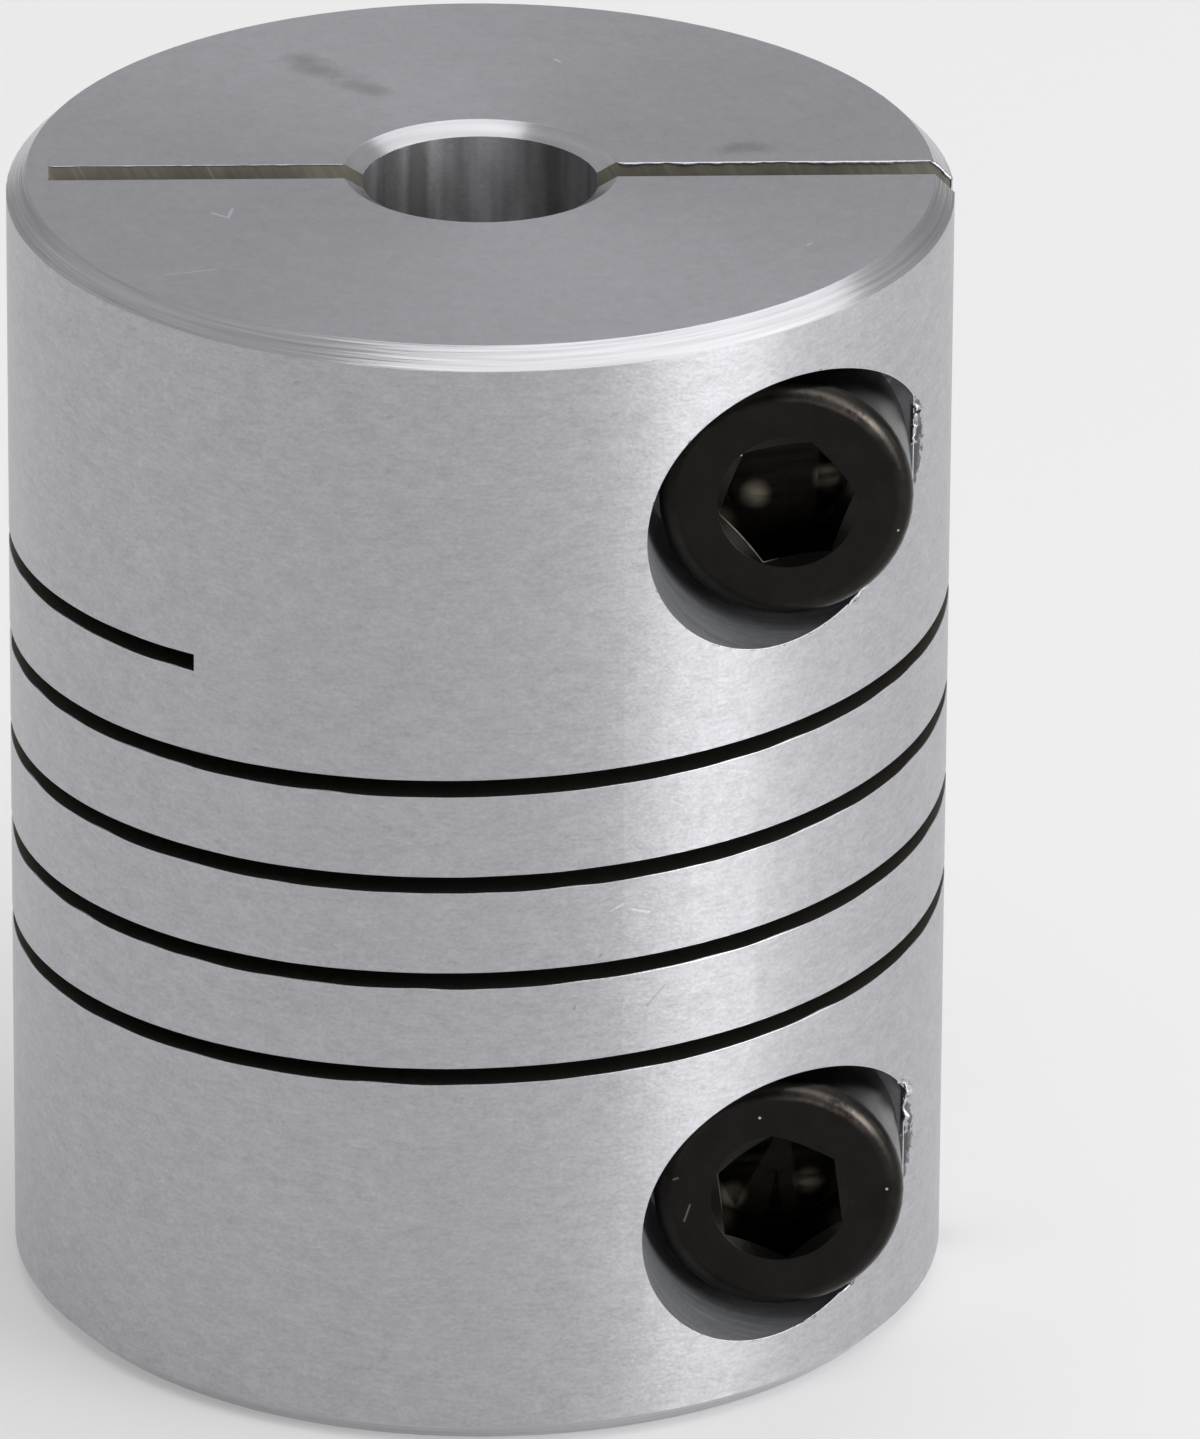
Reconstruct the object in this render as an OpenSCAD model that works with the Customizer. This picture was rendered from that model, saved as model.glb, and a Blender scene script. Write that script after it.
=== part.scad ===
// Helical beam coupling with two clamp hubs, for joining two shafts end to end.
// Millimetres. Z is the shaft axis, and the coupling stands on its lower end face at Z = 0.
// Both clamp slits lie in the plane Y = 0, and the screw heads are on the -Y side at +X.

/* [Body] */
// Outer diameter of the turned body
body_d = 20; // [19.4:0.1:24]
// Length of the body from end face to end face
body_len = 25; // [24:0.1:32]
// Width of the chamfer on both outer edges
edge_chamfer = 0.42; // [0.1:0.01:0.8]

/* [Bores] */
// Bore of the upper hub
upper_bore_d = 5; // [3:0.05:5.2]
// Bore of the lower hub
lower_bore_d = 5; // [3:0.05:5.2]
// Width of the countersink round each bore mouth, along the radius
mouth_w = 0.4; // [0.1:0.05:0.5]
// Included angle of the countersink
mouth_angle = 118; // [82:1:130]
// Step from the larger bore out to the relief under the spiral
relief_step = 0.6; // [0.2:0.05:1]

/* [Helical slot] */
// Width of the helical slot along the axis
slot_w = 0.4; // [0.25:0.01:0.6]
// Rise of the helical slot in one turn
slot_pitch = 2.2; // [1.8:0.05:2.4]
// Turns of the helical slot
slot_turns = 4.25; // [3.5:0.05:4.5]
// Angle of the slot's upper end, from +X towards +Y
slot_end_angle = 232; // [180:1:290]

/* [Clamp slits] */
// Width of the slit across each hub
slit_w = 0.8; // [0.4:0.05:1.2]
// Thin wall left as a hinge at the closed end of each slit
slit_hinge = 0.9; // [0.6:0.05:1.5]
// Solid web between a slit's floor and the helical slot
slit_web = 1.1; // [0.8:0.05:1.6]

/* [Clamp screws] */
// Distance of the screw axes in from the side of the body
screw_edge = 3.8; // [3.4:0.05:4]
// Distance of each screw axis from its end face
screw_inset = 4.5; // [4:0.05:5]
// Nominal thread diameter
thread_d = 3; // [2.5:0.05:3.2]
// Thread pitch
thread_pitch = 0.5; // [0.35:0.05:0.5]
// Gap round the screw in its tapped hole
thread_gap = 0.05; // [0.02:0.01:0.1]
// Gap round the screw in its clearance hole
shank_gap = 0.2; // [0.1:0.01:0.3]
// Screw length under the head
screw_len = 10; // [8:0.5:11]
// Chamfer at the screw's point
point_chamfer = 0.4; // [0.2:0.05:0.6]
// Distance of the counterbore floor in from the front of the body
seat_inset = 5.6; // [5:0.05:6]
// Gap round the screw head in its counterbore
head_gap = 0.35; // [0.15:0.01:0.4]

/* [Screw heads] */
// Diameter of the screw head
head_d = 5.3; // [5:0.05:5.5]
// Height of the screw head
head_h = 3; // [2.6:0.05:3.4]
// Radius of the head's rounded rim
head_round = 0.4; // [0.1:0.05:0.6]
// Hexagon socket across its flats
socket_af = 2.5; // [2:0.05:2.8]
// Depth of the socket's straight flats
socket_depth = 1.5; // [1:0.05:1.8]
// Reach of the socket's countersink beyond its corners
socket_rim = 0.03; // [0.02:0.01:0.15]
// Included angle of the socket's countersink
socket_mouth_angle = 120; // [90:1:130]
// Diameter of the flat at the bottom of the socket's cone
socket_flat_d = 0.95; // [0.5:0.05:1.2]
// Included angle of the socket's cone
socket_cone_angle = 120; // [100:1:140]
// Angle of a socket corner on the upper screw
upper_socket_turn = 10; // [0:1:59]
// Angle of a socket corner on the lower screw
lower_socket_turn = 37; // [0:1:59]

/* [Hidden] */
$fn = 96;

body_r = body_d / 2;

// Cutting tools run past the surface that they break through by this much.
overrun = 0.5;

slot_rise = slot_pitch * slot_turns;
slot_top_z = (body_len + slot_rise) / 2;
// Length of solid hub between an end face and the nearer end of the helical slot.
hub_len = (body_len - slot_rise - slot_w) / 2;
slit_depth = hub_len - slit_web;

larger_bore_d = max(upper_bore_d, lower_bore_d);
relief_d = larger_bore_d + 2 * relief_step;
// The relief clears the slot's ends by this much.
relief_margin = 0.3;

screw_offset = body_r - screw_edge;
// The counterbore floors, which the screw heads sit on, are this far in front of the slits' middle plane.
seat_depth = body_r - seat_inset;
counterbore_d = head_d + 2 * head_gap;
clearance_d = thread_d + 2 * shank_gap;
// The screw's shank is plain, with the pitch diameter of its thread, so that it has the thread's volume.
shank_d = thread_d - 3 / 8 * sqrt(3) * thread_pitch;
tapped_d = shank_d + 2 * thread_gap;

hexagon_corners = 6;
socket_ac = socket_af / cos(180 / hexagon_corners);
socket_mouth_d = socket_ac + 2 * socket_rim;
socket_cone_depth = (socket_af - socket_flat_d) / 2 / tan(socket_cone_angle / 2);

// The sweep of the helical slot is divided evenly, close to this many steps in a turn.
steps_in_turn = 40;
slot_steps = ceil(slot_turns * steps_in_turn);
slot_step_angle = 360 * slot_turns / slot_steps;
slot_inner_r = min(upper_bore_d, lower_bore_d) / 2 - overrun;
// Chords between steps stay outside the body wall.
slot_outer_r = (body_r + overrun) / cos(slot_step_angle / 2);

// Four corners of the slot's section at step i, counted down from its upper end.
function slot_section(i) =
    let (
        a = slot_end_angle - i * slot_step_angle,
        z = slot_top_z - slot_rise * i / slot_steps,
        low = z - slot_w / 2,
        high = z + slot_w / 2
    )
    [
        [slot_inner_r * cos(a), slot_inner_r * sin(a), low],
        [slot_outer_r * cos(a), slot_outer_r * sin(a), low],
        [slot_outer_r * cos(a), slot_outer_r * sin(a), high],
        [slot_inner_r * cos(a), slot_inner_r * sin(a), high]
    ];

// Two triangles of side k between step i and the next.
function slot_side(i, k) =
    let (
        p = 4 * i + k,
        q = 4 * i + (k + 1) % 4
    )
    [[p, p + 4, q], [q, p + 4, q + 4]];

// The space that the helical cut takes out: a rectangular section swept down a right-hand helix.
module helical_slot() {
    last = 4 * slot_steps;
    points = [for (i = [0:slot_steps]) each slot_section(i)];
    sides = [for (i = [0:slot_steps - 1]) for (k = [0:3]) each slot_side(i, k)];
    ends = [[0, 1, 2], [0, 2, 3], [last + 2, last + 1, last], [last + 3, last + 2, last]];
    polyhedron(points = points, faces = concat(sides, ends), convexity = 12);
}

module turned_blank() {
    rotate_extrude()
        polygon([
            [0, 0],
            [body_r - edge_chamfer, 0],
            [body_r, edge_chamfer],
            [body_r, body_len - edge_chamfer],
            [body_r - edge_chamfer, body_len],
            [0, body_len]
        ]);
}

// A shaft bore with its countersunk mouth, entering from an end face at z = 0.
module shaft_bore(d) {
    translate([0, 0, -overrun])
        cylinder(d = d, h = body_len / 2 + overrun);
    mirror([0, 0, 1])
        countersink(d + 2 * mouth_w, mouth_angle);
}

// The slit across a hub, entering from an end face at z = 0: open on the screw's side, and closed by the hinge.
module clamp_slit() {
    closed_end = body_r - slit_hinge;
    translate([-closed_end, -slit_w / 2, -overrun])
        cube([closed_end + body_r + overrun, slit_w, slit_depth + overrun]);
}

// Counterbore and clearance hole in the front jaw, and tapped hole right through the rear jaw.
module screw_holes() {
    translate([screw_offset, 0, screw_inset]) {
        rotate([90, 0, 0])
            cylinder(d = clearance_d, h = body_r);
        translate([0, -seat_depth, 0])
            rotate([90, 0, 0])
                cylinder(d = counterbore_d, h = body_r);
        rotate([-90, 0, 0])
            cylinder(d = tapped_d, h = body_r);
    }
}

// All that is cut into one hub, with its end face at z = 0 and the hub above it.
module hub_cuts(bore_d) {
    shaft_bore(bore_d);
    clamp_slit();
    screw_holes();
}

module centre_relief() {
    relief_len = slot_rise + slot_w + 2 * relief_margin;
    translate([0, 0, (body_len - relief_len) / 2])
        cylinder(d = relief_d, h = relief_len);
}

module body() {
    color([0.74, 0.75, 0.77])
        difference() {
            turned_blank();
            hub_cuts(lower_bore_d);
            translate([0, 0, body_len])
                mirror([0, 0, 1])
                    hub_cuts(upper_bore_d);
            centre_relief();
            helical_slot();
        }
}

module head_blank() {
    rotate_extrude() {
        square([head_d / 2 - head_round, head_h]);
        square([head_d / 2, head_h - head_round]);
        translate([head_d / 2 - head_round, head_h - head_round])
            circle(r = head_round);
    }
}

// Cone that opens upwards by the given included angle and is d wide at z = 0, from a tip below to above z = 0.
module countersink(d, angle) {
    rise = d / 2 / tan(angle / 2);
    translate([0, 0, -rise])
        cylinder(d1 = 0, d2 = 1.5 * d, h = 1.5 * rise);
}

// Hexagon socket with a countersunk mouth and a drilled cone below its flats, with its mouth at z = 0.
module socket_cut() {
    translate([0, 0, -socket_depth])
        cylinder(d = socket_ac, h = socket_depth + overrun, $fn = hexagon_corners);
    countersink(socket_mouth_d, socket_mouth_angle);
    translate([0, 0, -socket_depth - socket_cone_depth])
        cylinder(d1 = socket_flat_d, d2 = socket_af, h = socket_cone_depth);
}

// A socket head cap screw standing on its seat, with its head at +Z and a socket corner turned from +X.
module cap_screw(socket_turn) {
    color([0.12, 0.12, 0.12])
        difference() {
            union() {
                head_blank();
                translate([0, 0, -screw_len + point_chamfer])
                    cylinder(d = shank_d, h = screw_len);
                translate([0, 0, -screw_len])
                    cylinder(d1 = shank_d - 2 * point_chamfer, d2 = shank_d, h = point_chamfer);
            }
            translate([0, 0, head_h])
                rotate([0, 0, socket_turn])
                    socket_cut();
        }
}

// Puts a cap screw into the holes at height z, with its head seated on the counterbore floor.
module seated_screw(z, socket_turn) {
    translate([screw_offset, -seat_depth, z])
        rotate([90, 0, 0])
            cap_screw(socket_turn);
}

module upper_clamp_screw() {
    seated_screw(body_len - screw_inset, upper_socket_turn);
}

module lower_clamp_screw() {
    seated_screw(screw_inset, lower_socket_turn);
}

body();
upper_clamp_screw();
lower_clamp_screw();
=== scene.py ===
"""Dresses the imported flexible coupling: turned aluminium, black screws, broken edges, burrs and a studio."""

import bpy
import numpy as np
from bpy.props import FloatProperty, FloatVectorProperty, PointerProperty
from mathutils import Matrix, Vector


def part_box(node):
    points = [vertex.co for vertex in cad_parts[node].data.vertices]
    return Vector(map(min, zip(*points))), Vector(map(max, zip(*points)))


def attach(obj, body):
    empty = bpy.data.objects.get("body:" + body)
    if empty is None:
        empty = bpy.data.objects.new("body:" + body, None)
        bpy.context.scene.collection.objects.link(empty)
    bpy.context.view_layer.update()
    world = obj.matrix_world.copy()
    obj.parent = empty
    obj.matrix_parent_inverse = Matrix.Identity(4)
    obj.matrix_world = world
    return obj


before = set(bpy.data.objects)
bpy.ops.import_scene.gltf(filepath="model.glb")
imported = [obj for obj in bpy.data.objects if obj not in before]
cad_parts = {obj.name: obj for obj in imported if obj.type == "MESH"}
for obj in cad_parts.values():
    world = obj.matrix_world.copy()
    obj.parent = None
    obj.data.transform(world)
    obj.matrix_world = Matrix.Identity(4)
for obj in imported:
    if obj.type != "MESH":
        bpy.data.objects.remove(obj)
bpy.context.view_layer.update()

bl_info = {
    "name": "Flexible coupling",
    "version": (1, 0, 0),
    "blender": (4, 5, 0),
    "location": "3D View > Sidebar > Coupling",
    "description": "Finishes, edges, burrs and studio for a helical beam coupling with two clamp hubs",
    "category": "Object",
}

# One millimetre in metres. All sizes below are in millimetres.
MM = 0.001

# The solids' sizes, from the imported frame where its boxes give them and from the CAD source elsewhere.
BODY_HIGH = np.array(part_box("body")[1]) / MM
BODY_R = float(BODY_HIGH[0])
BODY_LEN = float(BODY_HIGH[2])
MID_Z = BODY_LEN / 2
SCREW_LOW, SCREW_HIGH = (np.array(corner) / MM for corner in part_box("upper_clamp_screw"))
SCREW_X = float(SCREW_LOW[0] + SCREW_HIGH[0]) / 2
# Height of the screw axes above and below the middle plane.
SCREW_RISE = float(SCREW_LOW[2] + SCREW_HIGH[2]) / 2 - MID_Z
EDGE_CHAMFER = 0.42
BORE_R = 2.5
# The countersunk mouth of the bore: its width along the radius, and its depth.
MOUTH_W = 0.4
MOUTH_DEPTH = 0.24
RELIEF_R = 3.1
COUNTERBORE_R = 3.0
# The screw heads sit this far in front of the middle plane of the slits.
SEAT_DEPTH = 4.4
THREAD_R = 1.5
SHANK_R = 1.3376
TAPPED_R = SHANK_R + 0.05
SCREW_TIP = float(SCREW_HIGH[1])
POINT_CHAMFER = 0.4
SLIT_W = 0.8
SLIT_DEPTH = 6.525
# Each slit ends here, at the hinge on the far side from the screws.
SLIT_END = 0.9 - BODY_R
SLOT_W = 0.4
SLOT_PITCH = 2.2
SLOT_TURNS = 4.25
SLOT_END_ANGLE = np.radians(232)
SLOT_TOP_Z = MID_Z + SLOT_PITCH * SLOT_TURNS / 2
# Height of the helical slot's ends above and below the middle plane.
SLOT_REACH = (SLOT_PITCH * SLOT_TURNS + SLOT_W) / 2
# The flat top of the screw heads.
HEAD_TOP = float(SCREW_LOW[1])
HEAD_R = float(SCREW_HIGH[0] - SCREW_LOW[0]) / 2
HEAD_ROUND = 0.4
SOCKET_AF = 2.5
# Radius and included angle of the sockets' countersink.
SOCKET_R = 1.4734
COUNTERSINK_ANGLE = np.radians(120)
# Angle of a socket corner on each screw.
UPPER_SOCKET_TURN = np.radians(10)
LOWER_SOCKET_TURN = np.radians(37)
# Depth of the sockets' flats, and of the disc at the bottom of the cone below them.
SOCKET_DEPTH = 1.5
SOCKET_BOTTOM = 1.947
# The countersink and the flats have a finish of their own down to this depth.
SOCKET_UPPER = 1.25

# A point this close to a turned wall, whose facets lie a little inside it, is on the wall.
ON_WALL = 0.03
# A point this close to a flat face is on the face.
ON_FACE = 0.006

# Smudges on the upper end face: middle, turn in degrees, half lengths.
FACE_SMUDGES = (
    ((-3.35, 5.9), -42, (1.5, 0.75)),
    ((-2.4, 4.75), -35, (1.2, 0.5)),
    ((5.6, 1.2), 8, (0.9, 0.55)),
)
# Scratches on the upper end face: first and last point, width.
FACE_SCRATCHES = (
    ((-5.68, -2.27), (-5.35, -2.55), 0.07),
    ((-5.35, -2.55), (-5.25, -2.05), 0.07),
    ((-6.7, -5.65), (-5.58, -5.35), 0.03),
    ((1.87, 6.13), (1.75, 6.3), 0.07),
    ((6.7, -4.3), (6.8, -4.15), 0.05),
)
# Bright scratches and dark marks on the front of the wall, by distance to the right and height:
# first and last point, width.
WALL_SCRATCHES = (
    ((2.5, 12.24), (2.75, 12.36), 0.05),
    ((2.95, 12.22), (3.3, 12.1), 0.05),
)
WALL_MARKS = (
    ((3.27, 9.95), (3.65, 10.36), 0.05),
    ((2.27, 11.22), (2.3, 11.26), 0.06),
    ((1.74, 10.05), (1.76, 10.15), 0.05),
    ((-4.05, 24.02), (-3.98, 24.04), 0.1),
)
# Scratches on the top of the lower screw's head, by distance to the right and height:
# first and last point, width.
HEAD_SCRATCHES = (
    ((4.18, 3.96), (4.3, 4.34), 0.04),
    ((3.92, 4.93), (4.04, 4.97), 0.04),
)
# Middles and radius of the bright specks of metal on the screw heads.
SCREW_SPECKS = (
    (5.24, -7.4, 21.56),
    (8.51, -7.35, 19.84),
    (5.76, -7.4, 6.36),
    (8.47, -7.4, 4.67),
)
SPECK_R = 0.03
BARE_STEEL = (0.5, 0.48, 0.45)

# Painted glints: lighter spots on the cones at the bottom of the sockets.
SOCKET_PAINTED_GLINTS = (
    (5.6, -5.7, 20.06),
    (7.12, -5.7, 20.44),
    (5.24, -5.7, 3.85),
    (6.9, -5.7, 4.18),
)

# Worn edges of the sockets, laid only where a highlight falls and so partly a painted highlight: name, height
# of the screw axis above the middle plane, socket's turn, first and last angle in degrees, share of the edge
# break.
SOCKET_WEAR_AND_HIGHLIGHTS = (
    ("upper_socket_edge", SCREW_RISE, UPPER_SOCKET_TURN, 186, 262, 1.8),
    ("lower_socket_edge", -SCREW_RISE, LOWER_SOCKET_TURN, 140, 200, 0.8),
)

# Burrs on the counterbore rims: first and last angle in degrees, share of the burr height, seed.
UPPER_BURRS = ((0, 20, 1.0, 3), (-64, -52, 0.5, 5))
LOWER_BURRS = ((0, 28, 1.0, 7), (-64, -56, 0.4, 9), (-84, -74, 0.3, 11))

# The camera, measured on a picture of 1200 by 1439 pixels.
PICTURE_W = 1200
PICTURE_H = 1439
FOCAL_PIXELS = 16926.0
PRINCIPAL_X = 478.75
PRINCIPAL_Y = 712.59
CAMERA_AZIMUTH = np.radians(-1.6)
CAMERA_ELEVATION = np.radians(23.911)
CAMERA_ROLL = np.radians(0.185)
CAMERA_DISTANCE = 361.69
SENSOR = 36.0
# Rays that see the floor paler than the light that it throws back, and how far it goes to white for them.
SEEN_RAYS = ("Camera", "Glossy", "Transmission")
FLOOR_WHITE = 0.25
# Distance of the softboxes from the coupling.
LAMP_DISTANCE = 500.0
# The softboxes: name, angle round from the camera's side and angle up, both in degrees, shape, size,
# and the property with its power.
SOFTBOXES = (
    ("key_softbox", 55, 12, "SQUARE", 260, "key"),
    ("side_softbox", 90, 12, "SQUARE", 150, "side"),
    ("overhead_softbox", 75, 68, "DISK", 839, "overhead"),
)
# The floor reaches this far each way, and lies this far under the coupling.
FLOOR_REACH = 1500.0
FLOOR_GAP = 0.02

# Sides of the thin lips along the broken edges.
LIP_SIDES = 6
# Steps in a turn of the helical slot, round a counterbore's rim, along a socket's worn edge and in a turn of
# a screw's thread, and length of a step along a slit's edge.
SLOT_STEPS = 240
RIM_STEPS = 240
SOCKET_STEPS = 60
THREAD_STEPS = 40
SLIT_STEP = 0.06
# The lips of the helical slot: name, above or below the slot, share of the edge break, seed.
SLOT_LIPS = (("slot_upper_edge", 1, 1.0, 32), ("slot_lower_edge", -1, 2.2, 30))
# The lip of each slit's torn edge is this many times as large as the others.
TORN_LIP_SHARE = 3.0

# The screws' threads start this far under the head, and end this far short of the point.
THREAD_START = 0.6
THREAD_END = 0.12
# Half widths of the thread's ridge at its root and at its crest, and the depth of its root in the shank.
RIDGE_ROOT = 0.14
RIDGE_CREST = 0.035
RIDGE_FOOT = 0.02
# The ridge's crest stays this far inside the thread's nominal radius, rises by this share of the way from its
# start, meets the shank this far past the start of the point's chamfer, and sinks no deeper than this.
CREST_GAP = 0.01
CREST_RISE = 0.4
CREST_PAST = 0.1
CREST_SUNK = 0.015
# The thread of a tapped hole is a lining: how far it starts before the screw's point, how deep its back
# lies in the metal and how far short of the wall it ends, and the depth of its grooves in the metal.
LINING_OVERLAP = 0.15
LINING_BACK = 0.012
LINING_GROOVE = 0.004
# Height of the lining's ridge above its grooves, and the ridge's half width at its foot and the width of
# one flank, both as shares of the pitch.
LINING_RIDGE = 0.137
LINING_FOOT = 0.28
LINING_FLANK = 0.155


# Properties

# Settings that colours, shares, lengths and powers have in common.
COLOUR = {"subtype": "COLOR", "min": 0, "max": 1}
SHARE = {"subtype": "FACTOR", "min": 0, "max": 1}
LENGTH = {"subtype": "DISTANCE", "unit": "LENGTH", "min": 0}
POWER = {"subtype": "POWER", "unit": "POWER", "min": 0}


class CouplingFinish(bpy.types.PropertyGroup):
    """Colours and surface texture of the two metals."""

    aluminium: FloatVectorProperty(
        name="Aluminium",
        description="Colour of the turned aluminium",
        default=(0.535, 0.529, 0.553),
        **COLOUR,
    )
    face: FloatVectorProperty(
        name="End faces",
        description="Colour of the faced ends",
        default=(0.54, 0.532, 0.57),
        **COLOUR,
    )
    # The slot walls' colour is darkened as painted shade in the narrow slot.
    slot_painted_shade: FloatVectorProperty(
        name="Slot walls",
        description="Colour of the walls inside the helical slot",
        default=(0.24, 0.23, 0.2),
        **COLOUR,
    )
    slit_metal: FloatVectorProperty(
        name="Slit walls",
        description="Colour of the sawn walls of the clamp slits",
        default=(0.32, 0.3, 0.255),
        **COLOUR,
    )
    pocket_metal: FloatVectorProperty(
        name="Counterbore walls",
        description="Colour of the milled walls of the counterbores",
        default=(0.42, 0.43, 0.45),
        **COLOUR,
    )
    bore_metal: FloatVectorProperty(
        name="Bore wall",
        description="Colour of the bore",
        default=(0.325, 0.325, 0.335),
        **COLOUR,
    )
    black_oxide: FloatVectorProperty(
        name="Black oxide",
        description="Colour of the blackened screws",
        default=(0.0165, 0.0155, 0.014),
        **COLOUR,
    )
    # Colour of worn oxide, also laid as a painted highlight on the heads' rims and the sockets' edges.
    worn_and_highlight: FloatVectorProperty(
        name="Worn rims",
        description="Colour where the screws' oxide is worn thin",
        default=(0.16, 0.137, 0.121),
        **COLOUR,
    )
    socket_cone: FloatVectorProperty(
        name="Socket cone",
        description="Colour of the drilled cone at the bottom of the sockets",
        default=(0.02, 0.0175, 0.0135),
        **COLOUR,
    )
    socket_disc: FloatVectorProperty(
        name="Socket disc",
        description="Colour of the flat disc at the bottom of the sockets",
        default=(0.34, 0.3, 0.22),
        **COLOUR,
    )
    wall_roughness: FloatProperty(
        name="Wall roughness",
        description="Roughness of the outer wall",
        default=0.42,
        **SHARE,
    )
    face_roughness: FloatProperty(
        name="Face roughness",
        description="Roughness of the end faces",
        default=0.40,
        **SHARE,
    )
    brushing: FloatProperty(
        name="Turning lines",
        description="How far the turning lines draw the highlights out across them",
        default=0.7,
        **SHARE,
    )
    facing: FloatProperty(
        name="Facing lines",
        description="How far the rings on the end faces draw the highlights out across them",
        default=0.4,
        **SHARE,
    )
    grain_contrast: FloatProperty(
        name="Grain contrast",
        description="How much lighter and darker the grain on the outer wall is than the wall",
        default=0.36,
        **SHARE,
    )
    grain_depth: FloatProperty(
        name="Grain depth",
        description="Height of the fine grain on the outer wall",
        default=0.003 * MM,
        **LENGTH,
    )


class CouplingEdges(bpy.types.PropertyGroup):
    """Sizes of the broken edges and burrs."""

    edge_break: FloatProperty(
        name="Edge break",
        description="Radius of the lips along the broken edges",
        default=0.02 * MM,
        **LENGTH,
    )
    burr_height: FloatProperty(
        name="Burr height",
        description="Largest height of the torn burrs on the counterbore rims",
        default=0.22 * MM,
        **LENGTH,
    )


class CouplingThreads(bpy.types.PropertyGroup):
    """Size of the clamp screws' thread."""

    pitch: FloatProperty(
        name="Thread pitch",
        description="Rise of the screws' thread in one turn",
        subtype="DISTANCE",
        unit="LENGTH",
        min=0.35 * MM,
        max=0.5 * MM,
        default=0.5 * MM,
    )


class CouplingStudio(bpy.types.PropertyGroup):
    """Colours and levels of the floor and the lamps."""

    floor: FloatVectorProperty(
        name="Floor",
        description="Colour of the floor",
        default=(0.9, 0.9, 0.905),
        **COLOUR,
    )
    room: FloatVectorProperty(
        name="Room",
        description="Light from the room's pale walls and ceiling",
        default=(0.5, 0.5, 0.505),
        **COLOUR,
    )
    key: FloatProperty(
        name="Key softbox",
        description="Power of the low softbox on the right",
        default=1.11,
        **POWER,
    )
    side: FloatProperty(
        name="Side softbox",
        description="Power of the small softbox at the right-hand side",
        default=0.15,
        **POWER,
    )
    overhead: FloatProperty(
        name="Overhead softbox",
        description="Power of the round softbox overhead",
        default=1.66,
        **POWER,
    )


# Surfaces


def add_piece(name, points, faces, material, slot):
    """Makes a smooth piece from points in millimetres and faces, and lets it ride on the coupling."""
    mesh = bpy.data.meshes.new(name)
    mesh.from_pydata((points * MM).tolist(), [], faces)
    mesh.shade_smooth()
    mesh.materials.append(material)
    piece = bpy.data.objects.new(name, mesh)
    bpy.context.scene.collection.objects.link(piece)
    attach(piece, "root")


def ring_faces(rows, columns, closed=False):
    """Quads between rows of points that each go once round a ring, facing outwards where the rings turn
    anticlockwise to an eye that the rows come towards. A closed path joins its last row to its
    first, and an open one gets a flat face on each end."""
    row = np.arange(rows if closed else rows - 1)[:, None]
    column = np.arange(columns)[None, :]
    here = row * columns + column
    beside = row * columns + (column + 1) % columns
    above = (row + 1) % rows * columns + column
    corner = (row + 1) % rows * columns + (column + 1) % columns
    faces = np.stack([here, beside, corner, above], -1).reshape(-1, 4).tolist()
    if not closed:
        first = np.arange(columns)
        faces += [first[::-1].tolist(), (first + (rows - 1) * columns).tolist()]
    return faces


def unit(vectors):
    """Vectors of length 1 in the same directions."""
    return vectors / np.linalg.norm(vectors, axis=-1, keepdims=True)


def carry(path, out, profile, closed=False):
    """Carries a profile along a path: corner k of section i is path point i, plus the profile's first number
    times the outward direction, plus its second times the cross product of the path's direction and that."""
    if closed:
        along = np.roll(path, -1, 0) - np.roll(path, 1, 0)
    else:
        along = np.gradient(path, axis=0)
    aside = unit(np.cross(along, out))
    profile = np.broadcast_to(profile, (len(path), *np.shape(profile)[-2:]))
    points = path[:, None] + profile[..., :1] * out[:, None] + profile[..., 1:] * aside[:, None]
    return points.reshape(-1, 3), ring_faces(len(path), profile.shape[1], closed)


def circle(sides):
    """Corners of a circle of radius 1."""
    turn = np.linspace(0, 2 * np.pi, sides, endpoint=False)
    return np.stack([np.cos(turn), np.sin(turn)], -1)


def together(surfaces):
    """Several surfaces as one: their points in a row, and their faces' numbers moved on to match."""
    counts = np.cumsum([0] + [len(points) for points, _ in surfaces])
    joined = []
    for first, (_, faces) in zip(counts, surfaces):
        joined += [[corner + first for corner in face] for face in faces]
    return np.concatenate([points for points, _ in surfaces]), joined


def ragged(count, seed, reach):
    """Repeatable uneven heights from 0 to 1: random numbers, each averaged with its neighbours in reach."""
    raw = np.random.default_rng(seed).random(count + 2 * reach)
    weights = np.hanning(2 * reach + 3)[1:-1]
    smooth = np.convolve(raw, weights / weights.sum(), "valid")
    return (smooth - smooth.min()) / np.ptp(smooth)


# Shader sums


class Term:
    """A shader socket that takes part in Python sums: each operator adds one Math node after it."""

    def __init__(self, socket):
        self.socket = socket

    def math(self, operation, *values):
        """Adds a Math node of the given operation to this term's tree."""
        node = self.socket.id_data.nodes.new("ShaderNodeMath")
        node.operation = operation
        for socket, value in zip(node.inputs, values):
            feed(socket, value)
        return Term(node.outputs[0])

    def __add__(self, other):
        return self.math("ADD", self, other)

    def __radd__(self, other):
        return self.math("ADD", other, self)

    def __sub__(self, other):
        return self.math("SUBTRACT", self, other)

    def __rsub__(self, other):
        return self.math("SUBTRACT", other, self)

    def __mul__(self, other):
        return self.math("MULTIPLY", self, other)

    def __rmul__(self, other):
        return self.math("MULTIPLY", other, self)

    def __pow__(self, other):
        return self.math("POWER", self, other)

    def __abs__(self):
        return self.math("ABSOLUTE", self)

    def __lt__(self, other):
        return self.math("LESS_THAN", self, other)

    def __gt__(self, other):
        return self.math("GREATER_THAN", self, other)


def feed(socket, value):
    """Links a socket to a term, or sets its own value; a colour gets full alpha where the socket has one."""
    if isinstance(value, Term):
        socket.id_data.links.new(value.socket, socket)
    elif isinstance(value, (int, float)):
        socket.default_value = value
    else:
        socket.default_value = (*value, 1.0)[: len(socket.default_value)]


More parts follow.
